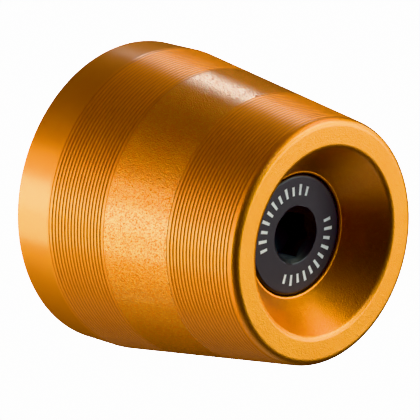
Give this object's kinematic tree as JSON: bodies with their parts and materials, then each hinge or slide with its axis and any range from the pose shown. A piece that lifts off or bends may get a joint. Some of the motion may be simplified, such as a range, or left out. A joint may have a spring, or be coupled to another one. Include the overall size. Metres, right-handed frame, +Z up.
{
  "type": "bar end weight",
  "caption": "Turned conical weight for a handlebar end, with fine groove bands and a flared cup, held by a recessed hex socket screw.",
  "frame": {"origin": "centre of the rear seat, on the turning axis, where the screw leaves the weight", "axes": "+X along the turning axis, outward from the handlebar towards the nose; -X along the screw into the bar; +Z up, with the axis level as on a handlebar"},
  "size_m": [0.0443, 0.037, 0.037],
  "materials": {
    "orange_anodised": "satin",
    "black_steel": "satin"
  },
  "bodies": {
    "root": {"end_weight": "orange_anodised", "clamp_screw": "black_steel"}
  },
  "joints": []
}
